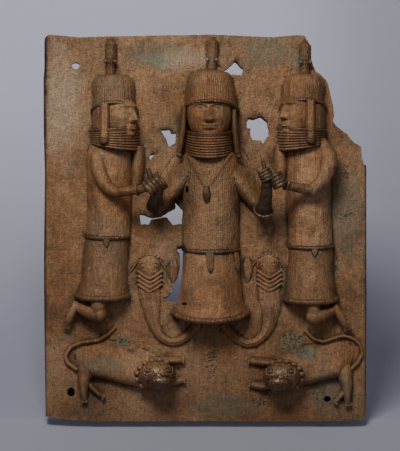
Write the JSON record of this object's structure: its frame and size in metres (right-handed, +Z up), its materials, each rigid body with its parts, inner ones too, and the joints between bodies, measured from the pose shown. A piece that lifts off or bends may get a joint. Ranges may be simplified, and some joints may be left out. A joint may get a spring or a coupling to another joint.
{
  "type": "relief plaque",
  "caption": "Cast brass wall plaque in high relief: a ruler with mudfish legs between kneeling attendants above leopards, with one corner broken away",
  "frame": {"origin": "middle of the plaque's width and height, in the plane of the wall that its turned-back side edges touch", "axes": "+X to the viewer's right, +Y into the wall, +Z up"},
  "size_m": [0.383, 0.0813, 0.4581],
  "materials": {
    "patinated_brass": "dull warm brown patina with green-grey patches, darker and polished on hands and muzzles"
  },
  "bodies": {
    "root": {"plaque": "patinated_brass"}
  },
  "joints": []
}
